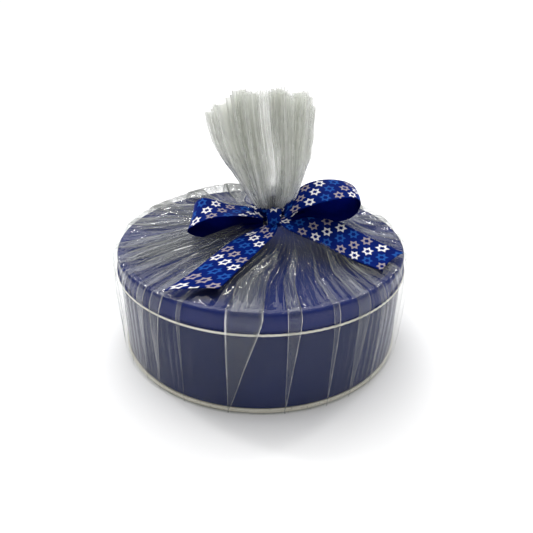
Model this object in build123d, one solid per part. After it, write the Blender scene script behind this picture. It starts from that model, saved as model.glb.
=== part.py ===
from build123d import *
import math
import os

# A round slip-lid cookie tin, wrapped in one gathered sheet of clear film and tied with a ribbon bow.
# Millimetres, +Z up. The origin is the middle of the underside, on the surface that the tin stands on.

# Driving dimensions of the tin
SHEET = 0.3                 # tinplate thickness
WALL_R = 95.0               # outside radius of the body wall
WALL_TOP = 66.0             # top of the curled body rim
SEAM_R = 95.8               # outside radius of the folded base seam
SEAM_H = 3.3                # height of the base seam
LID_GAP = 0.3               # clearance between the body wall and the lid skirt
LID_TOP = 69.2              # top face of the lid
LID_CORNER = 2.2            # outside radius of the lid's top edge
HEM_R = 97.0                # outside radius of the lid's rolled hem
HEM_Z = 56.4                # middle height of the hem
HEM_H = 2.0                 # height of the hem
PANEL_RISE = 2.7            # the base panel sits this much above the foot of its seam
BEAD_R = 81.5               # middle radius of the stiffening bead in the base
BEAD_FLAT = 2.5             # half width of the bead's flat top
BEAD_H = 0.8                # height of the bead
STEP_R = 90.0               # the lid's panel is lower inside this radius
STEP_H = 0.5

# Contents
PAPER_T = 0.4
CUP_T = 0.3
CUP_H = 30.0
CUP_BASE_R = 27.8
CUP_TOP_R = 31.0
CUP_RING_R = 62.4           # radius of the circle that the six outer cups stand on
COOKIE_R = 27.0
COOKIE_H = 13.0
COOKIE_GAP = 0.2
COOKIES_PER_CUP = 3
PAD_R = 92.5
PAD_T = 1.2

# Clear film
FILM_T = 0.3                # film panel under the tin
HOOD_T = 0.6                # film solid round the sides and over the lid
HOOD_FOOT_R = 98.2          # wide enough to pass over the lid's hem when the film is drawn off
HOOD_TOP_R = 97.4
HOOD_TOP = 70.1
HOOD_SIDE = ((98.2, 0.3), (98.8, 12.0), (99.6, 30.0), (100.0, 47.0), (99.4, 60.0))
NECK = (7.0, 0.0)           # the tied neck is a little to one side of the middle
NECK_R = 11.5
NECK_Z = 84.6               # the film cone ends and the neck begins
NECK_TOP = 95.0
# Sections of the tuft: height, middle x and y, half width, half depth
TUFT = ((95.0, 7.0, 0.0, 11.5, 11.5), (112.0, 7.0, 2.0, 20.5, 18.0),
        (140.0, 3.5, 2.0, 31.0, 24.0), (168.0, 1.5, 2.0, 35.0, 27.0))

# Ribbon
RIBBON_W = 22.0
RIBBON_T = 1.0
BAND_Z = 85.2
BAND_H = 9.2
BAND_T = 1.2
KNOT = (15.0, 8.0, 12.0)
KNOT_RISE = 1.8             # the knot sits this much above the middle of the band
LOOP_HALF_H = 8.5
LOOP_GAP = 1.0              # room between a loop and the film it curves past
# Each loop: its end at the knot, its tip, and the direction across the ribbon
LOOP_LEFT = ((0.4, -21.0, 92.8), (-45.0, -30.0, 91.6), (0.20, 0.72, 0.66))
LOOP_RIGHT = ((15.6, -19.0, 92.4), (62.0, -12.0, 100.0), (-0.20, 0.72, 0.66))
# Each tail: the two end points of its cross edge at the knot, at its bend and at its cut end
TAIL_LEFT = (((0.5, -20.2, 84.5), (7.0, -21.6, 84.5)), ((-24.0, -38.0, 80.4), (-8.0, -49.0, 79.8)),
             ((-53.0, -77.0, 72.4), (-20.5, -74.0, 75.2)))
TAIL_RIGHT = (((8.4, -21.6, 84.5), (14.9, -19.6, 84.5)), ((36.0, -40.0, 79.8), (44.0, -18.0, 81.6)),
              ((69.0, -53.0, 73.6), (90.0, -28.0, 72.6)))

TIN_Z = FILM_T              # the tin stands on the film panel


def save(solid, node):
    """Write one named node and print its size."""
    solid.label = node
    export_step(solid, f"parts/{node}.step")
    size = solid.bounding_box().size
    print(f"{node:16s} {solid.volume:11.1f} mm3  {size.X:6.1f} x {size.Y:6.1f} x {size.Z:6.1f}")


def turned(points):
    """A solid of revolution from (radius, height) corners."""
    face = make_face(Plane.XZ * Polyline(*points, close=True))
    return revolve(face, Axis.Z)


def disc(radius, bottom, thickness):
    return Pos(0, 0, bottom) * Cylinder(radius, thickness, align=(Align.CENTER, Align.CENTER, Align.MIN))


def tin_wall():
    """Body wall with an inward curl at the rim and a lapped side seam at the back."""
    inside = WALL_R - SHEET
    foot = TIN_Z + 0.7
    wall = turned([(inside, foot), (WALL_R, foot), (WALL_R, WALL_TOP - 1.0), (inside, WALL_TOP - 1.0)])
    curl_r = 0.8
    curl = revolve(Plane.XZ * Pos(WALL_R - curl_r, WALL_TOP - curl_r) * Circle(curl_r), Axis.Z)
    lap_w = 5.0
    lap_h = WALL_TOP - 8.0
    block = Pos(0, WALL_R - 2.0, 5.0) * Box(lap_w, 4.0, lap_h, align=(Align.CENTER, Align.CENTER, Align.MIN))
    sleeve = turned([(inside - SHEET, 4.0), (inside, 4.0), (inside, WALL_TOP), (inside - SHEET, WALL_TOP)])
    lap = block & sleeve
    return (wall + curl + lap).solid()


def tin_base():
    """Base panel held up inside a double-folded seam, with one stiffening bead."""
    low = TIN_Z
    panel = low + PANEL_RISE
    top = panel + SHEET
    slot_in = WALL_R - SHEET
    leg_in = slot_in - 0.5
    bead_in = BEAD_R - BEAD_FLAT
    bead_out = BEAD_R + BEAD_FLAT
    return turned([
        (0, panel), (bead_in - 1.0, panel), (bead_in, panel + BEAD_H), (bead_out, panel + BEAD_H),
        (bead_out + 1.0, panel), (leg_in, panel), (leg_in, low + 0.4), (slot_in, low), (SEAM_R - 0.5, low),
        (SEAM_R, low + 0.5), (SEAM_R, low + SEAM_H - 0.3), (SEAM_R - 0.3, low + SEAM_H),
        (WALL_R, low + SEAM_H), (WALL_R, low + 0.7), (slot_in, low + 0.7), (slot_in, top), (bead_out + 1.2, top),
        (bead_out + 0.2, top + BEAD_H), (bead_in - 0.2, top + BEAD_H), (bead_in - 1.2, top), (0, top),
    ])


def lid():
    """Pressed lid: flat panel with a shallow step, rounded edge, skirt and an outward rolled hem."""
    inner = WALL_R + LID_GAP
    outer = inner + SHEET
    under = LID_TOP - SHEET
    c_out = LID_CORNER
    c_in = LID_CORNER - SHEET
    k = math.sqrt(0.5)
    outline = [
        Polyline((0, under - STEP_H), (STEP_R, under - STEP_H), (STEP_R + 1.0, under), (inner - c_in, under)),
        ThreePointArc((inner - c_in, under), (inner - c_in + c_in * k, under - c_in + c_in * k),
                      (inner, under - c_in)),
        Polyline((inner, under - c_in), (inner, HEM_Z), (outer, HEM_Z), (outer, LID_TOP - c_out)),
        ThreePointArc((outer, LID_TOP - c_out), (outer - c_out + c_out * k, LID_TOP - c_out + c_out * k),
                      (outer - c_out, LID_TOP)),
        Polyline((outer - c_out, LID_TOP), (STEP_R + 1.1, LID_TOP), (STEP_R + 0.1, LID_TOP - STEP_H),
                 (0, LID_TOP - STEP_H), (0, under - STEP_H)),
    ]
    shell = revolve(make_face(Plane.XZ * Curve(outline)), Axis.Z)
    hem_w = HEM_R - inner
    hem = Pos(inner + hem_w / 2, HEM_Z) * RectangleRounded(hem_w, HEM_H, 0.8)
    return (shell + revolve(Plane.XZ * hem, Axis.Z)).solid()


def cup_places():
    """One cup in the middle and six round it."""
    places = [(0.0, 0.0)]
    for i in range(6):
        turn = math.radians(60 * i + 30)
        places.append((CUP_RING_R * math.cos(turn), CUP_RING_R * math.sin(turn)))
    return places


def cookie_cup():
    """Thin paper cup, widening upwards, standing at height zero."""
    return turned([(0, 0), (CUP_BASE_R, 0), (CUP_TOP_R, CUP_H), (CUP_TOP_R - CUP_T, CUP_H),
                   (CUP_BASE_R - CUP_T, CUP_T), (0, CUP_T)])


def cookie():
    """Round biscuit with soft edges and a pressed ring, standing at height zero."""
    body = Cylinder(COOKIE_R, COOKIE_H, align=(Align.CENTER, Align.CENTER, Align.MIN))
    body = fillet(body.edges().filter_by(GeomType.CIRCLE), 3.5)
    ring = Pos(0, 0, COOKIE_H) * Torus(COOKIE_R * 0.55, 1.2)
    return (body - ring).solid()


def film_side():
    """Film standing round the tin, just clear of it."""
    outer = list(HOOD_SIDE) + [(HOOD_TOP_R, 67.0), (HOOD_TOP_R, HOOD_TOP)]
    inner = [(r - HOOD_T, z) for r, z in reversed(outer)]
    return turned(outer + inner)


def film_cone(drop=0.0):
    """Film drawn in over the lid to the neck."""
    rim = Plane.XY.offset(HOOD_TOP - drop) * Circle(HOOD_TOP_R)
    top = Plane.XY.offset(NECK_Z - drop) * Pos(*NECK) * Circle(NECK_R + 1.0)
    return loft([rim, top], ruled=True)


def tuft(grow=0.0):
    """Flared bundle of film above the tie, a little wider than it is deep."""
    rings = []
    for height, x, y, half_x, half_y in TUFT:
        rings.append(Plane.XY.offset(height) * Pos(x, y) * Ellipse(half_x + grow, half_y + grow))
    return loft(rings, ruled=True)


def neck(grow=0.0):
    low = NECK_Z - grow
    high = NECK_TOP + grow
    column = Cylinder(NECK_R + grow, high - low, align=(Align.CENTER, Align.CENTER, Align.MIN))
    return Pos(NECK[0], NECK[1], low) * column


def ribbon_band():
    """The turn of ribbon round the neck."""
    place = Pos(NECK[0], NECK[1], BAND_Z)
    outer = Cylinder(NECK_R + BAND_T, BAND_H, align=(Align.CENTER, Align.CENTER, Align.MIN))
    inner = Cylinder(NECK_R, BAND_H, align=(Align.CENTER, Align.CENTER, Align.MIN))
    return place * (outer - inner)


def knot_box():
    """Lowest and highest corners of the knot, in front of the band."""
    back = NECK[1] - NECK_R - BAND_T
    middle_z = BAND_Z + BAND_H / 2 + KNOT_RISE
    low = (NECK[0] + 1.0 - KNOT[0] / 2, back - KNOT[1], middle_z - KNOT[2] / 2)
    high = (NECK[0] + 1.0 + KNOT[0] / 2, back, middle_z + KNOT[2] / 2)
    return low, high


def bow_knot():
    low, high = knot_box()
    middle = [(a + b) / 2 for a, b in zip(low, high)]
    return Pos(*middle) * fillet(Box(*KNOT).edges(), 3.2)


def bow_loop(start, tip, half_height, across):
    """A loop of ribbon: an oval ring from the knot to its tip, as deep as the ribbon is wide."""
    start = Vector(*start)
    tip = Vector(*tip)
    across = Vector(*across).normalized()
    along = tip - start
    along = along - across * along.dot(across)
    frame = Plane(origin=(start + tip) * 0.5, x_dir=along, z_dir=across)
    half_length = along.length / 2
    ring = Ellipse(half_length, half_height) - Ellipse(half_length - RIBBON_T, half_height - RIBBON_T)
    loop = extrude(frame * ring, RIBBON_W)
    loop = loop - tuft(LOOP_GAP) - neck(LOOP_GAP + BAND_T)
    low, high = knot_box()
    size = [b - a + 0.1 for a, b in zip(low, high)]
    middle = [(a + b) / 2 for a, b in zip(low, high)]
    return (loop - Pos(*middle) * Box(*size)).solids().sort_by(SortBy.VOLUME)[-1]


def bow_tail(*edges):
    """A free end of ribbon, lofted through its cross edges, each given by its two end points."""
    lift = Vector(0, 0, RIBBON_T)
    sections = []
    for left, right in edges:
        a = Vector(*left)
        b = Vector(*right)
        sections.append(make_face(Polyline(a, b, b + lift, a + lift, close=True)))
    return loft(sections, ruled=True)


def build():
    os.makedirs("parts", exist_ok=True)
    save(tin_wall(), "tin_wall")
    save(tin_base(), "tin_base")
    save(lid(), "lid")
    paper_z = TIN_Z + PANEL_RISE + BEAD_H + SHEET
    save(disc(WALL_R - 1.4, paper_z, PAPER_T), "bottom_paper")
    cup_z = paper_z + PAPER_T
    for i, (x, y) in enumerate(cup_places()):
        save(Pos(x, y, cup_z) * cookie_cup(), f"cookie_cup_{i + 1}")
        for j in range(COOKIES_PER_CUP):
            z = cup_z + CUP_T + j * (COOKIE_H + COOKIE_GAP)
            save(Pos(x, y, z) * cookie(), f"cookie_{i + 1}_{j + 1}")
    pad_z = cup_z + CUP_T + COOKIES_PER_CUP * (COOKIE_H + COOKIE_GAP)
    save(disc(PAD_R, pad_z, PAD_T), "top_pad")
    save(disc(HOOD_FOOT_R - 1.6, 0, FILM_T), "wrap_base")
    save(film_side(), "wrap_side")
    save((film_cone() - film_cone(HOOD_T)).solid(), "wrap_top")
    save(neck(), "wrap_neck")
    save(tuft(), "wrap_tuft")
    save(ribbon_band(), "ribbon_band")
    save(bow_knot(), "bow_knot")
    save(bow_loop(LOOP_LEFT[0], LOOP_LEFT[1], LOOP_HALF_H, LOOP_LEFT[2]), "bow_loop_left")
    save(bow_loop(LOOP_RIGHT[0], LOOP_RIGHT[1], LOOP_HALF_H, LOOP_RIGHT[2]), "bow_loop_right")
    save(bow_tail(*TAIL_LEFT), "bow_tail_left")
    save(bow_tail(*TAIL_RIGHT), "bow_tail_right")


build()
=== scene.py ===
"""Looks of the gift-wrapped cookie tin: painted tin, clear gathered film and a printed ribbon bow."""
import math
from types import SimpleNamespace

import bpy
import numpy as np
from mathutils import Matrix, Vector
from mathutils.bvhtree import BVHTree


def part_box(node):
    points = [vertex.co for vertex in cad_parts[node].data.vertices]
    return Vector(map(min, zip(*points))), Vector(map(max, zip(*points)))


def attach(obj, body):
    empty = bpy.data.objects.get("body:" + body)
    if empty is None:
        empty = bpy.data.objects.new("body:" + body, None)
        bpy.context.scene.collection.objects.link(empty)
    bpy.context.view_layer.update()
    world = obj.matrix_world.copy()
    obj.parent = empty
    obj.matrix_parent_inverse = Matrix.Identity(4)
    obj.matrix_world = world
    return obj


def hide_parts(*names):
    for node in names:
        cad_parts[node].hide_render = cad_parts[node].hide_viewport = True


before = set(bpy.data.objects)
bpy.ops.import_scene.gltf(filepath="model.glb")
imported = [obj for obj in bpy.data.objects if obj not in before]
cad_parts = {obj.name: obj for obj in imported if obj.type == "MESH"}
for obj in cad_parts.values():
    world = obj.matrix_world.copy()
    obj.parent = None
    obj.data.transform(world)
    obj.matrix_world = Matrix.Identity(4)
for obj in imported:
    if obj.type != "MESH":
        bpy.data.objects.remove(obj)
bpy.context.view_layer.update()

MM = 0.001

# ---------------------------------------------------------------- sizes from the frame
LID_LOW, LID_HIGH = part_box("lid")
LID_TOP = LID_HIGH[2]
HEM_R = LID_HIGH[0]
HEM_Z = LID_LOW[2] + 1.0 * MM
NECK_LOW, NECK_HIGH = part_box("wrap_neck")
NECK_X = (NECK_LOW[0] + NECK_HIGH[0]) / 2
NECK_R = (NECK_HIGH[0] - NECK_LOW[0]) / 2
BAND_LOW, BAND_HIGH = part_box("ribbon_band")
FILM_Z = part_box("wrap_base")[1][2]
RIBBON_W = 22 * MM


# ---------------------------------------------------------------- small helpers
def smooth(xs, ys, x):
    """Catmull-Rom interpolation of ys over xs."""
    xs = np.asarray(xs, float)
    ys = np.asarray(ys, float)
    x = np.clip(np.asarray(x, float), xs[0], xs[-1])
    i = np.clip(np.searchsorted(xs, x, side="right") - 1, 0, len(xs) - 2)
    slopes = np.gradient(ys, xs, axis=0)
    h = xs[i + 1] - xs[i]
    t = (x - xs[i]) / h
    if ys.ndim > 1:
        t = t[..., None]
        h = h[..., None]
    a = 2 * t**3 - 3 * t**2 + 1
    b = t**3 - 2 * t**2 + t
    c = -2 * t**3 + 3 * t**2
    d = t**3 - t**2
    return a * ys[i] + b * h * slopes[i] + c * ys[i + 1] + d * h * slopes[i + 1]


def ramp(x, low, high):
    """0 below low, 1 above high, smooth between."""
    t = np.clip((x - low) / (high - low), 0, 1)
    return t * t * (3 - 2 * t)


def crease_noise(u, v, count_u, count_v, seed):
    """Random heights from -1 to 1 joined by flat facets; u from 0 to 1 closes on itself, v is from 0 to 1."""
    r = np.random.default_rng(seed)
    table = r.uniform(-1, 1, (count_v + 2, count_u))
    shift = r.uniform(0, 1, count_v + 2)
    y = np.clip(v, 0, 1) * count_v
    j = np.minimum(np.floor(y).astype(int), count_v)
    t = y - j
    out = 0
    for row, weight in ((j, 1 - t), (j + 1, t)):
        x = (u * count_u + shift[row] * 0.6) % count_u
        i = np.floor(x).astype(int) % count_u
        f = x - np.floor(x)
        out = out + weight * ((1 - f) * table[row, i] + f * table[row, (i + 1) % count_u])
    return out


def new_mesh(name, points, faces, materials, face_slots=None, uv=None, attribute=None):
    """A smooth-shaded piece; attribute is the name of a value at every point and the values."""
    mesh = bpy.data.meshes.new(name)
    mesh.from_pydata([tuple(p) for p in points], [], faces)
    for m in materials:
        mesh.materials.append(m)
    if face_slots is not None:
        mesh.polygons.foreach_set("material_index", np.asarray(face_slots, dtype=np.int32))
    mesh.polygons.foreach_set("use_smooth", np.ones(len(mesh.polygons), dtype=bool))
    if uv is not None:
        layer = mesh.uv_layers.new(name="cloth")
        loops = np.empty(len(mesh.loops), dtype=np.int32)
        mesh.loops.foreach_get("vertex_index", loops)
        layer.data.foreach_set("uv", np.asarray(uv, dtype=np.float32)[loops].ravel())
    if attribute is not None:
        data = mesh.attributes.new(attribute[0], "FLOAT", "POINT")
        data.data.foreach_set("value", np.asarray(attribute[1], dtype=np.float32))
    mesh.update()
    obj = bpy.data.objects.new(name, mesh)
    bpy.context.collection.objects.link(obj)
    return obj


def grid_faces(rows, columns, closed, start=0):
    """Quads of a grid of rows x columns points; closed joins the last column to the first."""
    faces = []
    last = columns if closed else columns - 1
    for j in range(rows - 1):
        for i in range(last):
            k = (i + 1) % columns
            faces.append((start + j * columns + i, start + j * columns + k,
                          start + (j + 1) * columns + k, start + (j + 1) * columns + i))
    return faces


# ---------------------------------------------------------------- materials
FILM_MILK = (0.42, 0.435, 0.42, 1)
FILM_BLUE = (0.93, 0.94, 0.97, 1)
FILM_TOP = (0.90, 0.91, 0.865, 1)
STAR_PITCH = 9.7 * MM       # from star to star along the ribbon
ROW_PITCH = 7.33 * MM       # from row to row across it
STAR_SIZE = 1.92 * MM
STAR_STROKE = 1.05 * MM
STAR_BLUR = 0.08 * MM       # softness of the print's edge
SIN_60 = 0.8660254
TAN_30 = 0.57735
TAN_60 = 1.73205


class Nodes:
    """A short way to build a node material."""

    def __init__(self, name):
        self.material = bpy.data.materials.new(name)
        self.material.use_nodes = True
        self.tree = self.material.node_tree
        self.tree.nodes.clear()
        self.output = self.tree.nodes.new("ShaderNodeOutputMaterial")

    def add(self, kind, inputs=None, **settings):
        node = self.tree.nodes.new(kind)
        for key, value in settings.items():
            setattr(node, key, value)
        for key, value in (inputs or {}).items():
            self.put(node.inputs[key], value)
        return node

    def put(self, socket, value):
        if isinstance(value, bpy.types.NodeSocket):
            self.tree.links.new(value, socket)
        elif isinstance(value, bpy.types.Node):
            self.tree.links.new(value.outputs[0], socket)
        else:
            socket.default_value = value

    def math(self, operation, a, b=0.0, c=0.0, clamp=False):
        node = self.add("ShaderNodeMath", {0: a, 1: b, 2: c}, operation=operation, use_clamp=clamp)
        return node.outputs[0]

    def mix(self, factor, a, b):
        """Colour between a and b."""
        node = self.add("ShaderNodeMix", {0: factor}, data_type="RGBA")
        self.put(node.inputs[6], a)
        self.put(node.inputs[7], b)
        return node.outputs[2]

    def noise(self, vector, scale, detail=3.0, roughness=0.5):
        return self.add("ShaderNodeTexNoise", {"Vector": vector, "Scale": scale, "Detail": detail,
                                               "Roughness": roughness}).outputs[0]

    def range(self, value, low, high, to_low, to_high):
        return self.add("ShaderNodeMapRange", {0: value, 1: low, 2: high, 3: to_low, 4: to_high}).outputs[0]

    def bump(self, height, strength, distance):
        return self.add("ShaderNodeBump", {"Height": height, "Strength": strength,
                                           "Distance": distance}).outputs[0]

    def finish(self, shader):
        self.put(self.output.inputs[0], shader)
        return self.material


def painted_tin(name, hem_low, hem_high, bore_r, ceiling, dark, light):
    """Navy gloss paint, cream between the hem's heights, bare tinplate inside bore_r and below ceiling."""
    n = Nodes(name)
    place = n.add("ShaderNodeTexCoord").outputs["Object"]
    parts = n.add("ShaderNodeSeparateXYZ", {0: place})
    x, y, z = parts.outputs
    radius = n.math("SQRT", n.math("ADD", n.math("MULTIPLY", x, x), n.math("MULTIPLY", y, y)))
    grain = n.noise(place, 900.0, 2.0)
    cloud = n.noise(place, 18.0, 4.0)
    navy = n.mix(n.range(cloud, 0.3, 0.7, 0, 1), dark, light)
    hem = n.math("MULTIPLY", n.math("LESS_THAN", z, hem_high), n.math("GREATER_THAN", z, hem_low))
    inside = n.math("MULTIPLY", n.math("LESS_THAN", radius, bore_r), n.math("LESS_THAN", z, ceiling))
    bare = n.math("MAXIMUM", hem, inside)
    cream = n.mix(n.range(grain, 0.35, 0.65, 0, 1), (0.66, 0.63, 0.54, 1), (0.78, 0.76, 0.68, 1))
    colour = n.mix(bare, navy, cream)
    peel = n.noise(place, 260.0, 2.0)
    height = n.math("ADD", n.math("MULTIPLY", peel, 0.5), n.math("MULTIPLY", grain, 0.02))
    rough = n.math("ADD", n.range(cloud, 0.3, 0.7, 0.20, 0.27), n.math("MULTIPLY", bare, 0.10))
    shader = n.add("ShaderNodeBsdfPrincipled", {
        "Base Color": colour, "Roughness": rough, "Metallic": n.math("MULTIPLY", bare, 0.55),
        "Specular IOR Level": 0.12, "Normal": n.bump(height, 0.04, 0.00015)})
    return n.finish(shader)


def bare_tinplate():
    """Cream-silver tinplate of the base panel and its seam, with fine rolling lines."""
    n = Nodes("bare_tinplate")
    place = n.add("ShaderNodeTexCoord").outputs["Object"]
    lines = n.noise(n.add("ShaderNodeMapping", {"Vector": place, "Scale": (40.0, 2200.0, 900.0)}), 1.0, 3.0)
    cloud = n.noise(place, 30.0, 4.0)
    colour = n.mix(n.range(cloud, 0.3, 0.7, 0, 1), (0.66, 0.63, 0.53, 1), (0.78, 0.75, 0.66, 1))
    shader = n.add("ShaderNodeBsdfPrincipled", {
        "Base Color": colour, "Metallic": 0.7, "Roughness": n.range(lines, 0.3, 0.7, 0.26, 0.40),
        "Normal": n.bump(lines, 0.25, 0.00008)})
    return n.finish(shader)


def paper(name, light, dark, scale):
    """Uncoated greaseproof paper with fibres."""
    n = Nodes(name)
    place = n.add("ShaderNodeTexCoord").outputs["Object"]
    fibre = n.noise(place, scale, 5.0, 0.7)
    blotch = n.noise(place, 60.0, 3.0)
    colour = n.mix(n.range(n.math("MULTIPLY", fibre, blotch), 0.12, 0.4, 0, 1), dark, light)
    shader = n.add("ShaderNodeBsdfPrincipled", {
        "Base Color": colour, "Roughness": 0.78, "Normal": n.bump(fibre, 0.35, 0.0001),
        "Specular IOR Level": 0.3})
    return n.finish(shader)


def baked_biscuit():
    """Golden biscuit browned in random patches, with fine crumb, pores and sugar grains."""
    n = Nodes("baked_biscuit")
    place = n.add("ShaderNodeTexCoord").outputs["Object"]
    crumb = n.noise(place, 420.0, 6.0, 0.7)
    brown = n.noise(place, 55.0, 4.0)
    pores = n.add("ShaderNodeTexVoronoi", {"Vector": place, "Scale": 700.0}).outputs["Distance"]
    tone = n.math("ADD", n.math("MULTIPLY", brown, 0.7), n.math("MULTIPLY", crumb, 0.3))
    tone = n.range(tone, 0.35, 0.65, 0, 1)
    colour = n.mix(tone, (0.42, 0.19, 0.055, 1), (0.78, 0.50, 0.22, 1))
    sugar = n.range(pores, 0.0, 0.16, 1, 0)
    colour = n.mix(n.math("MULTIPLY", sugar, 0.35), colour, (0.92, 0.83, 0.62, 1))
    height = n.math("ADD", crumb, n.math("MULTIPLY", pores, 0.8))
    shader = n.add("ShaderNodeBsdfPrincipled", {
        "Base Color": colour, "Roughness": 0.72, "Subsurface Weight": 0.08, "Subsurface Scale": 0.002,
        "Normal": n.bump(height, 0.7, 0.0005)})
    return n.finish(shader)


def clear_film(name):
    """Thin glossy film; the haze attribute says how milky each place is, with painted highlight on the
    creases, and streaks run along the folds.
    """
    n = Nodes(name)
    place = n.add("ShaderNodeTexCoord").outputs["Object"]
    cloth = n.add("ShaderNodeUVMap", uv_map="cloth").outputs[0]
    haze = n.add("ShaderNodeAttribute", attribute_name="haze").outputs["Fac"]
    smear = n.noise(place, 70.0, 4.0, 0.6)
    crinkle = n.noise(place, 190.0, 2.0, 0.5)
    streak = n.noise(n.add("ShaderNodeMapping", {"Vector": cloth, "Scale": (420.0, 5.0, 1.0)}), 1.0, 3.0, 0.6)
    cloudy = n.math("MULTIPLY", n.range(smear, 0.3, 0.7, 0.75, 1.25), haze)
    cloudy = n.math("MULTIPLY", n.range(streak, 0.35, 0.68, 0.55, 1.7), cloudy, clamp=True)
    bumps = n.math("ADD", n.math("MULTIPLY", crinkle, 0.35), n.math("MULTIPLY", streak, 1.6))
    normal = n.bump(bumps, 0.45, 0.00035)
    level = n.add("ShaderNodeSeparateXYZ", {0: cloth}).outputs[1]
    blotch = n.range(smear, 0.4, 0.6, -0.08, 0.08)
    milk = n.mix(n.range(n.math("ADD", level, blotch), 1.06, 1.24, 0, 1), FILM_BLUE, FILM_TOP)
    milk = n.mix(n.range(level, 0.90, 1.0, 1, 0), milk, FILM_MILK)
    body = n.add("ShaderNodeBsdfDiffuse", {"Color": milk, "Roughness": 0.5, "Normal": normal})
    through = n.add("ShaderNodeBsdfTranslucent", {"Color": milk, "Normal": normal})
    milky = n.add("ShaderNodeMixShader", {0: 0.5, 1: body.outputs[0], 2: through.outputs[0]})
    clear = n.add("ShaderNodeBsdfTransparent", {"Color": (0.975, 0.978, 0.974, 1)})
    base = n.add("ShaderNodeMixShader", {0: cloudy, 1: clear.outputs[0], 2: milky.outputs[0]})
    shine = n.add("ShaderNodeBsdfGlossy", {"Color": (1, 1, 1, 1), "Roughness": 0.075, "Normal": normal})
    # Same gloss from either side of the film: rises with the fifth power towards grazing
    facing = n.add("ShaderNodeLayerWeight", {"Blend": 0.5, "Normal": normal}).outputs["Facing"]
    gloss = n.math("ADD", n.math("MULTIPLY", n.math("POWER", facing, 5.0), 0.60),
                   n.range(level, 0.50, 0.58, 0.012, 0.030), clamp=True)
    shader = n.add("ShaderNodeMixShader", {0: gloss, 1: base.outputs[0], 2: shine.outputs[0]})
    return n.finish(shader.outputs[0])


def star_mask(n, x, y, size, stroke):
    """1 on the outline of a six-pointed star of that size round (0, 0), 0 elsewhere."""
    x = n.math("ABSOLUTE", x)
    y = n.math("ABSOLUTE", y)
    for kx, ky in ((-0.5, SIN_60), (SIN_60, -0.5)):
        dot = n.math("ADD", n.math("MULTIPLY", x, kx), n.math("MULTIPLY", y, ky))
        dot = n.math("MULTIPLY", n.math("MINIMUM", dot, 0.0), 2.0)
        x = n.math("SUBTRACT", x, n.math("MULTIPLY", dot, kx))
        y = n.math("SUBTRACT", y, n.math("MULTIPLY", dot, ky))
    near = n.math("MINIMUM", n.math("MAXIMUM", x, size * TAN_30), size * TAN_60)
    x = n.math("SUBTRACT", x, near)
    y = n.math("SUBTRACT", y, size)
    length = n.math("SQRT", n.math("ADD", n.math("MULTIPLY", x, x), n.math("MULTIPLY", y, y)))
    distance = n.math("MULTIPLY", length, n.math("SIGN", y))
    ring = n.math("ABSOLUTE", n.math("ADD", distance, stroke / 2))
    return n.range(ring, stroke / 2 - STAR_BLUR, stroke / 2 + STAR_BLUR, 1, 0)


def printed_satin():
    """Royal blue satin with three staggered rows of small star outlines in taupe, white and pale blue."""
    n = Nodes("printed_satin")
    cloth = n.add("ShaderNodeUVMap", uv_map="cloth").outputs[0]
    parts = n.add("ShaderNodeSeparateXYZ", {0: cloth})
    along, across = parts.outputs[0], parts.outputs[1]
    row = n.math("FLOOR", n.math("DIVIDE", across, ROW_PITCH))
    place_u = n.math("ADD", along, n.math("MULTIPLY", row, 0.42 * STAR_PITCH))
    column = n.math("FLOOR", n.math("DIVIDE", place_u, STAR_PITCH))
    seed = n.add("ShaderNodeCombineXYZ", {0: column, 1: row, 2: 3.0})
    lot = n.add("ShaderNodeTexWhiteNoise", {"Vector": seed}, noise_dimensions="3D")
    random = n.add("ShaderNodeSeparateColor", {0: lot.outputs["Color"]})
    cell_u = n.math("SUBTRACT", place_u, n.math("MULTIPLY", n.math("ADD", column, 0.5), STAR_PITCH))
    cell_v = n.math("SUBTRACT", across, n.math("MULTIPLY", n.math("ADD", row, 0.5), ROW_PITCH))
    cell_u = n.math("ADD", cell_u, n.range(random.outputs[0], 0, 1, -0.5 * MM, 0.5 * MM))
    turn = n.range(random.outputs[1], 0, 1, -0.16, 0.16)
    cos, sin = n.math("COSINE", turn), n.math("SINE", turn)
    x = n.math("ADD", n.math("MULTIPLY", cell_u, cos), n.math("MULTIPLY", cell_v, sin))
    y = n.math("SUBTRACT", n.math("MULTIPLY", cell_v, cos), n.math("MULTIPLY", cell_u, sin))
    star = star_mask(n, x, y, STAR_SIZE, STAR_STROKE)
    kind = n.math("MODULO", n.math("ADD", n.math("ADD", column, n.math("MULTIPLY", row, 2.0)), 300.0), 3.0)
    pale = n.math("COMPARE", kind, 2.0, 0.4)
    taupe = n.math("COMPARE", kind, 0.0, 0.4)
    ink = n.mix(pale, (0.86, 0.84, 0.84, 1), (0.016, 0.085, 0.36, 1))
    ink = n.mix(taupe, ink, (0.36, 0.31, 0.33, 1))
    thread = n.add("ShaderNodeTexWave", {"Vector": cloth, "Scale": 900.0, "Distortion": 1.5, "Detail": 2.0},
                   wave_type="BANDS", bands_direction="X").outputs[1]
    cloud = n.noise(cloth, 120.0, 3.0)
    blue = n.mix(n.range(cloud, 0.3, 0.7, 0, 1), (0.0004, 0.0068, 0.092, 1), (0.0010, 0.0125, 0.150, 1))
    blue = n.mix(n.math("MULTIPLY", thread, 0.20), blue, (0.003, 0.025, 0.26, 1))
    colour = n.mix(star, blue, ink)
    height = n.math("ADD", n.math("MULTIPLY", thread, 0.6), n.math("MULTIPLY", star, 0.8))
    rough = n.math("ADD", n.range(cloud, 0.3, 0.7, 0.40, 0.50), n.math("MULTIPLY", star, 0.08))
    shader = n.add("ShaderNodeBsdfPrincipled", {
        "Base Color": colour, "Roughness": rough, "Specular IOR Level": 0.03, "IOR": 1.3,
        "Sheen Weight": 0.10, "Sheen Roughness": 0.35, "Sheen Tint": (0.04, 0.16, 0.95, 1),
        "Normal": n.bump(height, 0.35, 0.00006)})
    return n.finish(shader)


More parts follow.
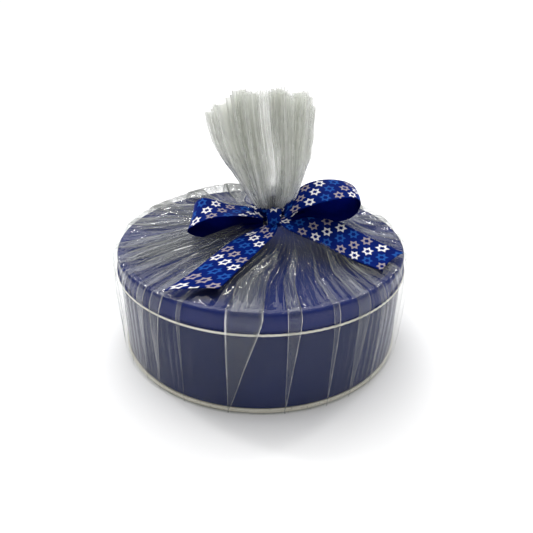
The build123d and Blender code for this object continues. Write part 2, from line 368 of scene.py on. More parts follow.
def ribbon_back():
    """Plain navy reverse of the ribbon, duller than its face."""
    n = Nodes("ribbon_back")
    cloth = n.add("ShaderNodeUVMap", uv_map="cloth").outputs[0]
    thread = n.add("ShaderNodeTexWave", {"Vector": cloth, "Scale": 700.0, "Distortion": 2.0, "Detail": 2.0},
                   wave_type="BANDS", bands_direction="X").outputs[1]
    cloud = n.noise(cloth, 150.0, 3.0)
    tone = n.math("ADD", n.math("MULTIPLY", cloud, 0.6), n.math("MULTIPLY", thread, 0.4))
    colour = n.mix(n.range(tone, 0.3, 0.7, 0, 1), (0.0004, 0.0016, 0.046, 1), (0.0008, 0.0034, 0.080, 1))
    shader = n.add("ShaderNodeBsdfPrincipled", {
        "Base Color": colour, "Roughness": 0.55, "Specular IOR Level": 0.0, "IOR": 1.15,
        "Normal": n.bump(thread, 0.3, 0.00006)})
    return n.finish(shader)


# ---------------------------------------------------------------- ribbon
def strip_points(edge_a, edge_b, stations, widths, crown):
    """Grid of points between two smooth edge lines given by a few points in millimetres."""
    edge_a = np.array(edge_a, float) * MM
    edge_b = np.array(edge_b, float) * MM
    keys = np.concatenate([[0], np.cumsum(np.linalg.norm(np.diff((edge_a + edge_b) / 2, axis=0), axis=1))])
    keys = keys / keys[-1]
    t = np.linspace(0, 1, stations)
    a = smooth(keys, edge_a, t)
    b = smooth(keys, edge_b, t)
    v = np.linspace(0, 1, widths)
    grid = a[:, None] * (1 - v)[None, :, None] + b[:, None] * v[None, :, None]
    along = np.gradient((a + b) / 2, axis=0)
    normal = np.cross(along, b - a)
    normal /= np.linalg.norm(normal, axis=1)[:, None]
    bow = (1 - (2 * v - 1) ** 2)[None, :, None] * normal[:, None] * crown
    return grid + bow, t


def surface_normal(grid):
    """Unit normals of a grid of points."""
    normal = np.cross(np.gradient(grid, axis=0), np.gradient(grid, axis=1))
    return normal / (np.linalg.norm(normal, axis=2)[:, :, None] + 1e-12)


def ribbon_from_grid(name, grid, uv_start):
    """A woven strip with a printed face, a plain back and slightly thicker edges; also returns its length."""
    stations, widths = grid.shape[:2]
    v = np.linspace(0, 1, widths)
    normal = surface_normal(grid)
    middle = grid[:, widths // 2]
    length = np.concatenate([[0], np.cumsum(np.linalg.norm(np.diff(middle, axis=0), axis=1))])
    half = 0.11 * MM + 0.08 * MM * np.clip(1 - np.minimum(v, 1 - v) / 0.05, 0, 1)
    face = grid + normal * half[None, :, None]
    back = grid - normal * half[None, :, None]
    count = stations * widths
    points = np.concatenate([face.reshape(-1, 3), back.reshape(-1, 3)])
    front_faces = grid_faces(stations, widths, False)
    back_faces = [tuple(reversed(f)) for f in grid_faces(stations, widths, False, count)]
    rim = list(range(widths))
    rim += [i * widths + widths - 1 for i in range(1, stations)]
    rim += [(stations - 1) * widths + j for j in range(widths - 2, -1, -1)]
    rim += [i * widths for i in range(stations - 2, 0, -1)]
    edge_faces = []
    for a, b in zip(rim, rim[1:] + rim[:1]):
        edge_faces.append((b, a, a + count, b + count))
    slots = [0] * len(front_faces) + [1] * len(back_faces) + [1] * len(edge_faces)
    uv = np.stack(np.broadcast_arrays(uv_start + length[:, None], v[None, :] * RIBBON_W), 2).reshape(-1, 2)
    uv = np.concatenate([uv, uv])
    obj = new_mesh(name, points, front_faces + back_faces + edge_faces, [SATIN, SATIN_BACK], slots, uv)
    return obj, length[-1]


def ribbon_strip(name, edge_a, edge_b, uv_start, crown=0.0, pleats=None, cut=None, stations=90, widths=23):
    """A length of ribbon between two edge lines. pleats(t, v) lifts the surface; cut(v) slants its end."""
    grid, t = strip_points(edge_a, edge_b, stations, widths, crown)
    v = np.linspace(0, 1, widths)
    if pleats is not None:
        grid = grid + surface_normal(grid) * pleats(t[:, None], v[None, :])[:, :, None]
    if cut is not None:
        pull = cut(v)
        for j in range(widths):
            path = grid[:, j].copy()
            run = np.concatenate([[0], np.cumsum(np.linalg.norm(np.diff(path, axis=0), axis=1))])
            at = run * (run[-1] - pull[j]) / run[-1]
            grid[:, j] = np.stack([np.interp(at, run, path[:, k]) for k in range(3)], 1)
    return ribbon_from_grid(name, grid, uv_start)


def declare_ribbon(obj, node):
    """Hangs a piece of ribbon on the wrap's body and hides the CAD node that it stands for."""
    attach(obj, "wrap")
    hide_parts(node)


def gathers(count, seed, start, end, depth):
    """Lengthwise gathers that fade from the start of a strip to the end."""
    r = np.random.default_rng(seed)
    phase = r.uniform(0, 6.28)
    wobble = r.uniform(-0.6, 0.6)

    def lift(t, v):
        fade = 1 - ramp(t, start, end)
        return depth * fade * np.cos(2 * math.pi * (count * v + wobble * v * v) + phase)
    return lift


def both_ends(count, seed, reach, depth):
    """Lengthwise gathers at both ends of a strip."""
    one = gathers(count, seed, 0.0, reach, depth)
    other = gathers(count, seed + 1, 0.0, reach, depth)
    return lambda t, v: one(t, v) + other(1 - t, v)


def bow_loops():
    """Both loops: near edge, then far edge, from the knot's top round the tip to its underside."""
    made = {}
    near = [(1, -20, 91.5), (-7, -23.5, 94.5), (-19.5, -28, 96.5), (-32, -31, 96), (-41, -32, 92),
            (-45.5, -30, 87.5), (-43, -27, 83.5), (-36.5, -24, 80.5), (-25.5, -22.5, 79.5),
            (-14, -21, 81.5), (1, -19.5, 86.5)]
    far = [(1, -14.5, 91.5), (-7, -5.5, 93), (-21, -6, 95.5), (-31, -9, 100), (-38.5, -9.5, 101),
           (-43.5, -8, 95), (-42, -6, 89.5), (-35.5, -4, 90), (-25, -3.5, 91), (-13.5, -6.5, 90.5),
           (1.5, -14.5, 90)]
    made["bow_loop_left"] = ribbon_strip("soft_loop_left", far, near, 0.012, -0.6 * MM,
                                         both_ends(2.0, 3, 0.22, 0.9 * MM), stations=120)
    near = [(15, -19.5, 92.5), (23, -20.5, 98), (32, -22, 102), (43, -22, 105), (52.5, -20, 106),
            (59.5, -17, 104.5), (63, -14, 100), (62, -12, 94), (58, -11.5, 89.5), (51.5, -12.5, 87.5),
            (41, -15, 90), (27, -17.5, 92), (15.5, -18.5, 88.5)]
    far = [(14, -13.5, 95), (19.5, -6.5, 101.5), (26.5, -1.5, 107), (37.5, 0, 110.5), (48.5, 1, 110.5),
           (57.5, 3, 107.5), (62.5, 5.5, 102.5), (61.5, 6.5, 98), (56.5, 7.5, 96), (49, 7, 96),
           (38.5, 2, 97.5), (26.5, -6.5, 96.5), (15, -13.5, 91.5)]
    made["bow_loop_right"] = ribbon_strip("soft_loop_right", near, far, 0.171, 0.6 * MM,
                                          both_ends(2.0, 8, 0.2, 0.9 * MM), stations=130)
    return made


def bow_tails():
    """Both tails: far edge, then near edge, from the knot outwards, with a slanted end."""
    made = {}
    far = [(2, -20.5, 88), (-5, -25, 86), (-14, -31, 84), (-28.5, -48.5, 80), (-41.5, -66.5, 76.5),
           (-53.5, -79, 73.5)]
    near = [(10.5, -21.5, 87.5), (9, -28, 86), (3, -38.5, 83.5), (-9.5, -58, 79.5),
            (-20.5, -75.5, 76), (-32, -90.5, 73)]
    made["bow_tail_left"] = ribbon_strip(
        "soft_tail_left", far, near, 0.353, 0.5 * MM, gathers(1.5, 12, 0.02, 0.30, 0.8 * MM),
        cut=lambda v: (14.5 * v + 1.2 * np.sin(math.pi * v)) * MM)
    far = [(12, -20, 92.5), (18.5, -14, 94), (27, -8, 92.5), (39, -5, 89.5), (52.5, -11.5, 85.5),
           (64.5, -20, 82), (76.5, -29, 79), (89.5, -31.5, 74.5)]
    near = [(11.5, -22.5, 89.5), (15, -25.5, 87.5), (21.5, -25.5, 84.5), (32.5, -28, 80.5), (44, -35, 77.5),
            (57.5, -44.5, 75), (70, -52.5, 73.5), (80, -59, 72.5)]
    made["bow_tail_right"] = ribbon_strip(
        "soft_tail_right", near, far, 0.482, -0.5 * MM, gathers(1.5, 17, 0.02, 0.25, 0.9 * MM),
        cut=lambda v: (10.0 * (1 - v) + 1.4 * np.sin(math.pi * v)) * MM)
    return made


def neck_band():
    """One turn of ribbon round the neck, scrunched to less than half its width."""
    turns = np.linspace(0, 2 * math.pi, 151)[:, None] + math.pi / 2
    v = np.linspace(0, 1, 43)[None, :]
    wander = 0.5 * np.sin(3 * turns) + 0.3 * np.sin(7 * turns)
    fold = np.cos(2 * math.pi * 3.5 * v + wander)
    radius = NECK_R + (1.3 + 1.15 * fold) * MM
    rise = (BAND_LOW[2] + BAND_HIGH[2]) / 2 + (v - 0.5) * 10.4 * MM
    grid = np.stack([NECK_X + radius * np.cos(turns), radius * np.sin(turns), rise + 0 * turns], 2)
    return ribbon_from_grid("soft_band", grid, 0.61)


def bow_knot():
    """One turn of ribbon round the crossing, its edges folded under."""
    low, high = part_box("bow_knot")
    cx = (low[0] + high[0]) / 2
    cy = (low[1] + high[1]) / 2 + 0.4 * MM
    cz = (low[2] + high[2]) / 2 - 0.6 * MM
    turns = np.linspace(0, 2 * math.pi, 101)[:, None] + math.pi / 2
    s = (np.linspace(0, 1, 45)[None, :] - 0.5) * RIBBON_W
    half = 4.6 * MM
    over = np.clip(np.abs(s) - half, 0, None)
    under = ramp(over, 0, 1.2 * MM)
    across = np.sign(s) * (np.minimum(np.abs(s), half) - np.clip(over - 0.8 * MM, 0, None))
    shell = 0.9 * MM * np.cos(0.5 * math.pi * np.clip(np.abs(s) / half, 0, 1)) - 0.9 * MM * under
    crease = 0.38 * MM * np.cos(2 * math.pi * s / (3.3 * MM) + 1.5 * np.sin(turns)) * (1 - under)
    ring = shell + crease
    waist = 1 - 0.14 * np.cos(turns - 0.4) ** 2
    grid = np.stack([cx + across * waist, cy + (4.2 * MM + ring) * np.cos(turns),
                     cz + (5.6 * MM + ring) * np.sin(turns) + 0.10 * across], 2)
    return ribbon_from_grid("soft_knot", grid, 0.66)


def bow():
    """Every piece of ribbon and its length, by the CAD node that it stands for."""
    made = {**bow_loops(), **bow_tails()}
    made["ribbon_band"] = neck_band()
    made["bow_knot"] = bow_knot()
    return made


# ---------------------------------------------------------------- film
# Knife pleats round the side, in degrees from +X: fixed edge, then width at the lid's edge
PLEATS = [(-172, 5.0), (-160, 6.0), (-148, 4.0), (-136.5, 5.0), (-129.5, 5.6), (-118, 1.8), (-101.2, 12.0),
          (-81.5, 4.6), (-66.0, 2.2), (-56.5, 5.5), (-46, 3.0), (-34, 5.5), (-20, 5.0), (-5, 6.5), (14, 7.5),
          (36, 6.0), (58, 8.5), (79, 5.5), (101, 8.0), (122, 6.0), (143, 8.0), (164, 6.5)]
SPAN_COLUMNS = 44           # columns of film between two pleats
FOLD_COLUMNS = 6            # columns on each folded panel
SPAN_WAVES = 4.0            # accordion folds that a span makes where the film is gathered
TOTAL_WAVES = len(PLEATS) * (SPAN_WAVES + 1)
PANEL_WAVES = 5             # waves from one large facet of the tuft to the next
RUN_WAVES = 4.3             # waves from one bunched run to the next
PEAK_WAVES = 2.7            # waves from one peak of the tuft's edge to the next

# Places up the film, from 0 at its foot: the lid's edge, the tied neck and the tuft's edge
EDGE = 0.54
ON_LID = 0.56               # from here on the film lies on the lid
NECK = 1.00
TUFT = 1.52

# Clearances in millimetres
WALL_LEAST = 97.3           # radius of the film's foot and sides at the least
HEM_GAP = 0.6
LID_GAP = 0.35
TAIL_GAP = 0.5
FLOOR_GAP = 0.05

# The sheet is a disc, and the panel under the tin is its middle: the panel's radius
PANEL_R = 0.0966

# Stations up the film: place, radius, height, middle x and y, depth of the folds, width in y over width in x
STATIONS = [
    (0.00, 97.6, 0.5, 0, 0, 0.0, 1), (0.04, 97.7, 3.0, 0, 0, 0.1, 1), (0.10, 98.0, 9.0, 0, 0, 0.15, 1),
    (0.20, 98.6, 22, 0, 0, 0.2, 1), (0.30, 99.2, 36, 0, 0, 0.25, 1), (0.40, 99.6, 49, 0, 0, 0.3, 1),
    (0.48, 99.5, 59, 0, 0, 0.3, 1), (EDGE, 98.2, 67, 0, 0, 0.3, 1), (0.565, 96.2, 70.5, 0, 0, 0.3, 1),
    (0.60, 91.5, 71.6, 0.3, 0, 0.6, 1), (0.68, 79.0, 73.6, 1.2, 0, 1.4, 1),
    (0.76, 63.0, 76.1, 2.5, 0, 2.2, 1), (0.85, 44.0, 79.2, 4.2, 0, 3.0, 1),
    (0.92, 28.5, 82.0, 5.6, 0, 3.4, 1), (0.965, 18.0, 84.4, 6.6, 0, 3.0, 1),
    (NECK, 9.4, 87.6, 7, 0, 2.1, 1), (1.03, 9.0, 91.4, 7, 0, 2.1, 1), (1.06, 10.6, 95.2, 7, 0, 2.5, 1),
    (1.12, 14.6, 103.5, 7, 0.5, 3.8, 0.97), (1.20, 18.8, 115, 6.2, 1, 5.2, 0.92),
    (1.30, 23.0, 129, 4.4, 1.5, 6.2, 0.86), (1.42, 26.2, 147, 2.0, 2, 7.2, 0.80),
    (TUFT, 28.0, 165.5, 0.6, 2, 7.8, 0.78),
]

# How milky the film looks on the lid, by direction in degrees: more where it is bunched
LID_HAZE = [(-180, 0.13), (-165, 0.12), (-150, 0.09), (-135, 0.055), (-120, 0.008), (-108, 0.008),
            (-102, 0.09), (-95, 0.11), (-90, 0.012), (-80, 0.012), (-68, 0.045), (-55, 0.045), (-42, 0.07),
            (-30, 0.05), (-15, 0.07), (0, 0.05), (30, 0.05), (60, 0.07), (90, 0.09), (120, 0.11),
            (150, 0.12), (180, 0.13)]
LID_GAIN = 1.25             # overall strength of that haze
SIDE_HAZE = 0.009
NECK_HAZE = 0.42
LOW_TUFT_HAZE = 0.16
TUFT_HAZE = 0.27
BACK_HAZE = 0.46            # added where the film stands up behind
FOLD_HAZE = 0.085           # added on the folded panel of a pleat
# The crease line of a pleat gets extra milky colour: partly layered film, partly painted highlight where the
# fold catches the light
EDGE_HAZE_AND_HIGHLIGHT = 0.22            # added on the crease of a pleat
# The sharpest small creases on top get extra milky colour: partly layered film, partly painted highlight
# where they catch the light
CREASE_HAZE_AND_HIGHLIGHT = 0.15          # added on the sharpest small creases of the top


def film_columns():
    """For every column of the film: its pleat, which part of it, its place in that part, and its wave."""
    pleat = []
    part = []
    place = []
    wave = []
    for k in range(len(PLEATS)):
        first = k * (SPAN_WAVES + 1)
        for c in range(FOLD_COLUMNS):
            pleat.append(k)
            part.append(0)
            place.append(c / FOLD_COLUMNS)
            wave.append(first + 0.5 * c / FOLD_COLUMNS)
        for c in range(SPAN_COLUMNS):
            pleat.append(k)
            part.append(1)
            place.append(c / SPAN_COLUMNS)
            wave.append(first + 0.5 + (SPAN_WAVES + 0.5) * c / SPAN_COLUMNS)
    return np.array(pleat), np.array(part), np.array(place), np.array(wave)


def film_levels():
    """Places up the film, close together where it bends, and the smoothed station values at each."""
    keys = np.array([s[0] for s in STATIONS])
    values = np.array([s[1:] for s in STATIONS], float)
    stops = np.concatenate([np.linspace(0, 0.5, 26)[:-1], np.linspace(0.5, 0.6, 12)[:-1],
                            np.linspace(0.6, NECK, 50)[:-1], np.linspace(NECK, 1.12, 14)[:-1],
                            np.linspace(1.12, TUFT, 50)])
    return stops, smooth(keys, values, stops)


def film_grid():
    """The film's columns and levels in one object, ready to be folded."""
    film = SimpleNamespace()
    film.pleat, film.part, film.place, film.wave = film_columns()
    stops, values = film_levels()
    film.key = stops[:, None]
    for i, name in enumerate(("radius", "height", "cx", "cy", "depth", "squeeze")):
        setattr(film, name, values[:, i:i + 1])
    film.draws = np.random.default_rng(21)
    film.facets = np.random.default_rng(22)
    return film


def turn_pleats(film):
    """Direction of every point: knife pleats on the side, even accordion folds at the neck."""
    edges = np.radians([p[0] for p in PLEATS])
    widths = np.radians([p[1] for p in PLEATS])
    following = np.roll(edges, -1)
    following[-1] += 2 * math.pi
    gap = (following - edges)[film.pleat][None, :]
    # Width of the overlap: nothing at the foot, full at the lid's edge, then growing as the lid narrows
    open_up = np.clip((film.key - 0.03) / 0.51, 0.02, 1.0)
    inward = np.clip(96.0 / film.radius, 1.0, 4.0) ** 0.6
    overlap = widths[film.pleat][None, :] * open_up * np.where(film.key > EDGE, inward, 1.0)
    overlap = np.minimum(overlap, 0.62 * gap)
    near = edges[film.pleat][None, :]
    far = near + overlap
    next_overlap = np.roll(overlap, -(SPAN_COLUMNS + FOLD_COLUMNS), axis=1)
    folded = np.where(film.part[None, :] == 0, far + (near - far) * film.place[None, :],
                      near + (gap + next_overlap) * film.place[None, :])
    even = edges[0] + 2 * math.pi * film.wave[None, :] / TOTAL_WAVES
    half_waves = int(TOTAL_WAVES * 2) + 1
    jitter = np.interp(film.wave, np.arange(half_waves) / 2, film.draws.uniform(-0.27, 0.27, half_waves))
    even = even + jitter[None, :] * 2 * math.pi / TOTAL_WAVES
    gather = ramp(film.key, 0.70, NECK)
    film.theta = folded * (1 - gather) + even * gather
    film.u = (film.theta / (2 * math.pi)) % 1.0
    film.v = np.clip(film.key / TUFT, 0, 1) + 0 * film.theta


def stand_up_behind(film):
    """The film stands up behind, where it isn't pulled down flat, with one billow left of the middle."""
    film.behind = ramp(np.sin(film.theta), -0.05, 0.75)
    film.hump = np.exp(-(((film.key - 0.605) / 0.055) ** 2))
    billow = np.exp(-(((np.degrees(film.theta) % 360 - 112) / 14) ** 2))
    rise = 3.4 * film.behind * (1 - 0.6 * np.clip(np.cos(film.theta), 0, 1)) + 3.4 * billow
    film.raise_z = rise * film.hump * (0.85 + 0.15 * crease_noise(film.u, film.v * 0, 9, 1, 71))


def fold_film(film):
    """How far each point stands off the mean surface, in millimetres along its normal."""
    wave, key, u, v = film.wave, film.key, film.u, film.v
    film.zigzag = 1 - 4 * np.abs((wave % 1.0) - 0.5)
    panel_at = np.arange(0, int(TOTAL_WAVES) + 6, PANEL_WAVES)
    panel = np.interp(wave, panel_at, film.draws.uniform(-1, 1, len(panel_at)))
    wave_at = np.arange(int(TOTAL_WAVES) + 2)
    strength = np.interp(wave, wave_at, film.draws.uniform(0.3, 1.2, len(wave_at)))
    lively = crease_noise(u, v, 46, 7, 31)
    bunch = 0.5 + 0.5 * crease_noise(u, v * 0.4, 17, 2, 35)
    calm = 0.45 + 1.1 * bunch
    calm = calm + (1 - calm) * ramp(key, 0.95, 1.05)
    lift = film.depth * (film.zigzag * strength)[None, :] * (1 + 0.35 * lively) * calm
    # Creases that run with the folds on top, softer waves on the side
    on_top = ramp(key, 0.555, 0.62) * (1 - ramp(key, 0.97, 1.02))
    on_side = 1 - ramp(key, 0.5, 0.56)
    lift = lift + on_top * (0.95 * crease_noise(u, v, 56, 8, 41) + 0.58 * crease_noise(u, v, 150, 11, 42)
                            + 0.34 * crease_noise(u, v, 330, 15, 43))
    lift = lift + on_side * (0.7 * crease_noise(u, v, 34, 4, 51) + 0.25 * crease_noise(u, v, 100, 8, 52))
    # In the tuft, flat facets lie between bunched runs
    film.in_tuft = ramp(key, 1.04, 1.14)
    run_at = np.arange(0, TOTAL_WAVES + 10, RUN_WAVES)
    runs = np.interp(wave, run_at, film.facets.uniform(0.15, 1.85, len(run_at)))
    lift = lift * (1 + film.in_tuft * (runs[None, :] - 1))
    lift = lift + film.in_tuft * (0.8 * crease_noise(u, v, 60, 16, 61) + 0.5 * crease_noise(u, v, 170, 40, 62)
                                  + 3.0 * panel[None, :] + 2.0 * crease_noise(u, v, 7, 9, 64))
    lift = lift * (1 - 0.65 * film.behind * film.hump)
    # Layers of a knife pleat lie over each other
    place = film.place[None, :]
    layer = np.where(film.part[None, :] == 0, 0.8 * (1 - 2 * place), -0.8 + 1.6 * place**3)
    layer = layer * (1 - ramp(key, 0.8, 0.95)) * ramp(key, 0.0, 0.10)
    return lift + layer * 0.45


def ragged_edge(film):
    """Extra height towards the tuft's edge: teeth and peaks, low on the left and highest in front."""
    half_waves = int(TOTAL_WAVES * 2) + 1
    teeth = np.interp(film.wave, np.arange(half_waves) / 2, film.draws.uniform(-1, 1, half_waves))
    peak_at = np.arange(0, TOTAL_WAVES + 6, PEAK_WAVES)
    peaks = np.interp(film.wave, peak_at, film.facets.uniform(-1, 1, len(peak_at)))
    left = np.clip(-np.cos(film.theta), 0, 1) ** 2
    right = np.clip(np.cos(film.theta), 0, 1) ** 2
    outline = -4.0 * np.sin(film.theta) - 12.5 * left - 8.0 * right
    small = 1.6 * teeth[None, :] + 4.0 * peaks[None, :]
    return ramp(film.key, 1.10, TUFT) * (small + outline + 1.0 * film.zigzag[None, :])


def clear_of_tin(film, x, y, z):
    """Keeps the side outside the wall and hem, the top above the lid, and all above the floor panel."""
    flat_r = np.sqrt(x**2 + y**2)
    hem_zone = np.exp(-(((z - HEM_Z / MM) / 5.0) ** 2))
    least = WALL_LEAST + (HEM_R / MM + HEM_GAP - WALL_LEAST) * hem_zone
    side = film.key < 0.545
    push = np.where(side & (flat_r < least), least / flat_r, 1.0)
    lid_least = LID_TOP / MM + LID_GAP
    z = np.where((film.key >= ON_LID) & (z < lid_least), lid_least, z)
    z = np.maximum(z, FILM_Z / MM + FLOOR_GAP)
    return np.stack([x * push, y * push, z], 2) * MM


def film_points(film, tails):
    """Place every point: mean line, folds along its normal, rise behind and ragged edge."""
    lift = fold_film(film)
    # The side bellies out a little more to the right than to the left
    belly = 0.7 * np.cos(film.theta) * np.sin(math.pi * np.clip(film.key / EDGE, 0, 1)) * (film.key < EDGE)
    dr = np.gradient(film.radius[:, 0])[:, None]
    dz = np.gradient(film.height[:, 0])[:, None]
    size = np.sqrt(dr**2 + dz**2)
    radius = film.radius + belly + lift * (dz / size)
    z = film.height - lift * (dr / size) + film.raise_z + ragged_edge(film)
    x = film.cx + radius * np.cos(film.theta)
    y = film.cy + radius * np.sin(film.theta) * film.squeeze
    return press_under(clear_of_tin(film, x, y, z), film.key, tails)


def press_under(points, key, tails):
    """Pushes the film down where a ribbon tail lies on it."""
    trees = []
    for tail in tails:
        mesh = tail.data
        trees.append(BVHTree.FromPolygons([v.co.copy() for v in mesh.vertices],
                                          [tuple(p.vertices) for p in mesh.polygons]))
    rows, columns = points.shape[:2]
    low = LID_TOP + LID_GAP * MM
    for j in range(rows):
        if not ON_LID < key[j, 0] < 0.99:
            continue
        for i in range(columns):
            p = points[j, i]
            for tree in trees:
                hit = tree.ray_cast(Vector((p[0], p[1], low - 0.01)), Vector((0, 0, 1)))[0]
                if hit is not None and p[2] > hit.z - TAIL_GAP * MM:
                    p[2] = max(low, hit.z - TAIL_GAP * MM)
    return points


def film_haze(film, points):
    """Milkiness: thin on the side, by direction on the lid, thicker where the film is bunched; on creases it
    is partly milk and partly painted highlight.
    """
    key, theta = film.key, film.theta
    degrees = (np.degrees(theta) + 180) % 360 - 180
    on_lid = np.interp(degrees, [h[0] for h in LID_HAZE], [h[1] for h in LID_HAZE])
    haze = SIDE_HAZE + (LID_GAIN * on_lid - SIDE_HAZE) * ramp(key, 0.56, 0.66)
    haze = haze + (NECK_HAZE - haze) * ramp(key, 0.96, 1.02)
    haze = haze + (LOW_TUFT_HAZE - haze) * ramp(key, 1.01, 1.08)
    haze = haze + (TUFT_HAZE - haze) * ramp(key, 1.12, 1.30)
    haze = haze + 0.08 * film.in_tuft * np.abs(np.sin(theta)) ** 10
    rim = np.exp(-(((key - 0.595) / 0.055) ** 2))
    haze = haze + BACK_HAZE * film.behind * (1 - 0.55 * np.clip(np.cos(theta), 0, 1)) * rim
    folded_in = (film.part == 0)[None, :] * (1 - ramp(key, 0.7, 0.9)) * ramp(key, 0.0, 0.05)
    haze = haze + FOLD_HAZE * folded_in
    # How sharply the sheet turns from each point to the next
    after = np.roll(points, -1, 1)
    turn = np.abs(after + np.roll(points, 1, 1) - 2 * points)
    sharp = np.linalg.norm(turn, axis=2) / (np.linalg.norm(after - points, axis=2) + 1e-5)
    sharp = np.clip(sharp - 0.3, 0, 1.2) / 1.2
    # Pleat crease lines: extra milky colour, partly layered film and partly painted highlight
    crease = ((film.place < 0.01)[None, :]) * (1 - ramp(key, 0.75, 0.9))
    # On the sharpest creases of the top the added milky colour is partly painted highlight
    return haze + CREASE_HAZE_AND_HIGHLIGHT * sharp * ramp(key, 0.56, 0.62) + EDGE_HAZE_AND_HIGHLIGHT * crease


def film_hood(tails):
    """The sheet's sides, top, neck and tuft as one folded surface."""
    film = film_grid()
    turn_pleats(film)
    stand_up_behind(film)
    points = film_points(film, tails)
    haze = film_haze(film, points)
    rows, columns = points.shape[:2]
    uv = np.stack([np.broadcast_to(film.wave[None, :] / TOTAL_WAVES, (rows, columns)),
                   np.broadcast_to(film.key, (rows, columns))], 2).reshape(-1, 2)
    return new_mesh("film_hood", points.reshape(-1, 3), grid_faces(rows, columns, True), [FILM], uv=uv,
                    attribute=("haze", haze.ravel()))


def film_floor():
    """The sheet's panel under the tin, with the crumples that run out to its edge."""
    rows, columns = 26, 240
    inner, outer = 4.0, PANEL_R / MM
    u = np.linspace(0, 1, columns, endpoint=False)[None, :]
    v = np.linspace(0, 1, rows)[:, None]
    theta = 2 * math.pi * u
    radius = inner + (outer - inner) * v
    crumple = 0.5 + 0.5 * crease_noise(u + 0 * v, v + 0 * u, 60, 6, 81)
    z = 0.02 + 0.24 * crumple * ramp(v, 0.1, 0.5)
    points = np.stack([radius * np.cos(theta), radius * np.sin(theta), z + 0 * theta], 2) * MM
    points = np.concatenate([points.reshape(-1, 3), [[0, 0, FLOOR_GAP * MM]]])
    faces = grid_faces(rows, columns, True)
    middle = len(points) - 1
    for i in range(columns):
        faces.append((middle, (i + 1) % columns, i))
    creases = np.clip(crease_noise(u + 0 * v, v + 0 * u, 120, 8, 82), 0, 1)
    haze = np.concatenate([(0.04 + 0.1 * creases).ravel(), [0.04]])
    uv = np.stack(np.broadcast_arrays(u, v), 2).reshape(-1, 2)
    uv = np.concatenate([uv, [[0.5, 0]]])
    return new_mesh("film_floor", points, faces, [FILM], uv=uv, attribute=("haze", haze))


# ---------------------------------------------------------------- contents
def fluted_cup(name, node):
    """A paper cup with pressed flutes, standing where its plain solid is."""
    thickness = 0.12 * MM
    low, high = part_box(node)
    cx, cy = (low[0] + high[0]) / 2, (low[1] + high[1]) / 2
    top_r = (high[0] - low[0]) / 2 - 0.3 * MM
    base_r = top_r - 3.4 * MM
    base_z = low[2] + thickness
    flutes = 44
    columns = flutes * 6
    theta = np.linspace(0, 2 * math.pi, columns, endpoint=False)
    rows = []
    for s in (0.0, 0.35, 0.7, 0.92):
        rows.append(np.stack([cx + base_r * s * np.cos(theta), cy + base_r * s * np.sin(theta),
                              np.full(columns, base_z)], 1))
    for s in np.linspace(0, 1, 14):
        wave = 0.75 * MM * ramp(s, 0.0, 0.25) * np.cos(flutes * theta)
        r = base_r + (top_r - base_r) * s + wave - 0.5 * MM
        rows.append(np.stack([cx + r * np.cos(theta), cy + r * np.sin(theta),
                              np.full(columns, base_z + (high[2] - low[2] - thickness) * s)], 1))
    points = np.array(rows)
    obj = new_mesh(name, points.reshape(-1, 3), grid_faces(len(rows), columns, True), [CUP_PAPER])
    thick = obj.modifiers.new("thickness", "SOLIDIFY")
    thick.thickness = thickness
    thick.offset = 0
    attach(obj, "tin")
    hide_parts(node)


def dress(node, material):
    """Gives a CAD node one material."""
    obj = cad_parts[node]
    obj.data.materials.clear()
    obj.data.materials.append(material)


# ---------------------------------------------------------------- stage, lights, camera
CAMERA_PLACE = (0, -0.3379, 0.2272)
CAMERA_ANGLES = (28.06, 0.65, 0.68)     # pitch down, yaw and roll in degrees
LENS = 36.9
SENSOR = 36.0
AIM = (0, 0, 0.07)                      # what the strip lights face: the lid's middle


def camera():
    """The camera of the photograph."""
    data = bpy.data.cameras.new("camera")
    data.sensor_width = SENSOR
    data.lens = LENS
    obj = bpy.data.objects.new("camera", data)
    bpy.context.collection.objects.link(obj)
    pitch, yaw, roll = (math.radians(a) for a in CAMERA_ANGLES)
    forward = Vector((math.sin(yaw) * math.cos(pitch), math.cos(yaw) * math.cos(pitch), -math.sin(pitch)))
    right = Vector((math.cos(yaw), -math.sin(yaw), 0))
    up = right.cross(forward)
    turned_right = right * math.cos(roll) + up * math.sin(roll)
    turned_up = up * math.cos(roll) - right * math.sin(roll)
    obj.rotation_mode = "QUATERNION"
    basis = Matrix((turned_right, turned_up, -forward)).transposed()
    obj.rotation_quaternion = basis.to_quaternion()
    obj.location = CAMERA_PLACE
    data.clip_start = 0.01
    bpy.context.scene.camera = obj


def strip_light(name, place, size, power):
    """A rectangular light that faces the tin."""
    data = bpy.data.lights.new(name, "AREA")
    data.shape = "RECTANGLE"
    data.size, data.size_y = size
    data.energy = power
    obj = bpy.data.objects.new(name, data)
    bpy.context.collection.objects.link(obj)
    obj.location = place
    aim = Vector(AIM) - Vector(place)
    obj.rotation_mode = "QUATERNION"
    obj.rotation_quaternion = aim.to_track_quat("-Z", "Y")


def sun(name, towards, spread, strength):
    """Soft light from far off; towards points from the ground to the light, spread is in degrees."""
    data = bpy.data.lights.new(name, "SUN")
    data.energy = strength
    data.angle = math.radians(spread)
    obj = bpy.data.objects.new(name, data)
    bpy.context.collection.objects.link(obj)
    obj.rotation_mode = "QUATERNION"
    obj.rotation_quaternion = (-Vector(towards)).to_track_quat("-Z", "Y")


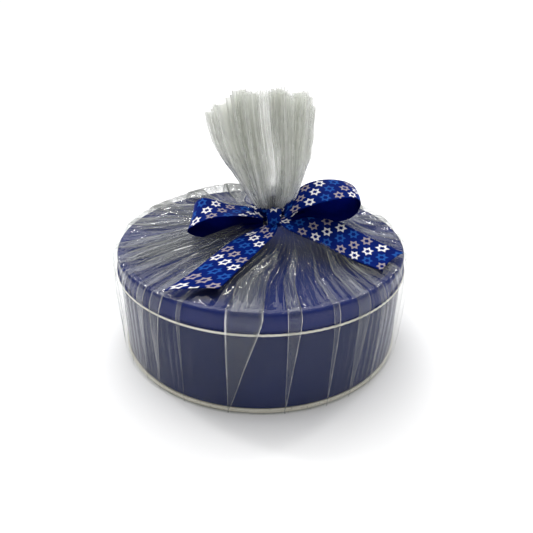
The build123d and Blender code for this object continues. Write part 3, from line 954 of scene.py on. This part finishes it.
def stage():
    """White floor, pale surroundings and lights."""
    mesh = bpy.data.meshes.new("floor")
    half = 60.0
    corners = [(-half, -half, 0), (half, -half, 0), (half, half, 0), (-half, half, 0)]
    mesh.from_pydata(corners, [], [(0, 1, 2, 3)])
    floor = bpy.data.objects.new("floor", mesh)
    bpy.context.collection.objects.link(floor)
    n = Nodes("floor_white")
    shader = n.add("ShaderNodeBsdfPrincipled", {"Base Color": (0.97, 0.97, 0.97, 1), "Roughness": 0.8,
                                                "Specular IOR Level": 0.1})
    floor.data.materials.append(n.finish(shader))
    world = bpy.data.worlds.new("studio")
    bpy.context.scene.world = world
    world.use_nodes = True
    # Strength of the surroundings by height: brighter near the horizon, dimmer overhead
    tree = world.node_tree
    direction = tree.nodes.new("ShaderNodeTexCoord").outputs["Generated"]
    split = tree.nodes.new("ShaderNodeSeparateXYZ")
    tree.links.new(direction, split.inputs[0])
    fade = tree.nodes.new("ShaderNodeMapRange")
    tree.links.new(split.outputs[2], fade.inputs[0])
    for socket, value in zip(fade.inputs[1:5], (0.16, 0.42, 0.95, 0.22)):
        socket.default_value = value
    tree.links.new(fade.outputs[0], tree.nodes["Background"].inputs[1])
    tree.nodes["Background"].inputs[0].default_value = (1, 1, 1, 1)
    sun("overhead", (-0.03, 0.30, 1.0), 70, 2.35)
    sun("from_left", (-0.5, 0.45, 1.0), 40, 0.30)
    strip_light("strip_left", (-0.55, 0.30, 0.75), (0.05, 0.30), 1.9)
    strip_light("strip_right", (0.50, 0.35, 0.70), (0.05, 0.30), 1.3)
    strip_light("strip_back", (-0.05, 0.60, 0.70), (0.40, 0.02), 1.0)
    strip_light("strip_front", (0.15, -0.55, 0.80), (0.40, 0.03), 0.3)


# ---------------------------------------------------------------- build
# The wall has no hem, so its hem is placed below everything; it has no ceiling either
# The wall's navy is the lid's paint made greyer and less blue: painted reflection, the pale veil that the
# side shows
WALL_PAINT_WITH_PAINTED_VEIL = painted_tin("navy_wall_painted_veil", hem_low=-1.0, hem_high=-0.5, bore_r=94.85 * MM, ceiling=1.0,
                         dark=(0.0130, 0.0195, 0.068, 1), light=(0.0155, 0.0235, 0.084, 1))
LID_PAINT = painted_tin("navy_lid", hem_low=-1.0, hem_high=HEM_Z + 0.75 * MM, bore_r=92.8 * MM,
                        ceiling=LID_TOP - 0.65 * MM,
                        dark=(0.0060, 0.0135, 0.104, 1), light=(0.0085, 0.0180, 0.128, 1))
TINPLATE = bare_tinplate()
FILM = clear_film("clear_film")
SATIN = printed_satin()
SATIN_BACK = ribbon_back()
CUP_PAPER = paper("cup_paper", light=(0.86, 0.82, 0.74, 1), dark=(0.66, 0.60, 0.50, 1), scale=900.0)
PAD_PAPER = paper("pad_paper", light=(0.90, 0.88, 0.84, 1), dark=(0.74, 0.71, 0.66, 1), scale=600.0)
BISCUIT = baked_biscuit()

camera()
stage()
dress("tin_wall", WALL_PAINT_WITH_PAINTED_VEIL)
dress("lid", LID_PAINT)
dress("tin_base", TINPLATE)
dress("bottom_paper", PAD_PAPER)
dress("top_pad", PAD_PAPER)
for node in list(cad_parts):
    if node.startswith("cookie_cup_"):
        fluted_cup(node.replace("cookie_cup", "fluted_cup"), node)
    elif node.startswith("cookie_"):
        dress(node, BISCUIT)

parts = bow()
for node, (piece, length) in parts.items():
    declare_ribbon(piece, node)

hood = film_hood([parts["bow_tail_left"][0], parts["bow_tail_right"][0]])
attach(hood, "wrap")
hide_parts("wrap_side", "wrap_top", "wrap_neck", "wrap_tuft")
under = film_floor()
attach(under, "tin")
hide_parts("wrap_base")

scene = bpy.context.scene
scene.view_settings.view_transform = "Standard"
scene.cycles.transparent_max_bounces = 96
scene.cycles.max_bounces = 24
scene.cycles.glossy_bounces = 8
scene.cycles.diffuse_bounces = 8
scene.cycles.transmission_bounces = 8
scene.cycles.caustics_reflective = False
scene.cycles.caustics_refractive = False
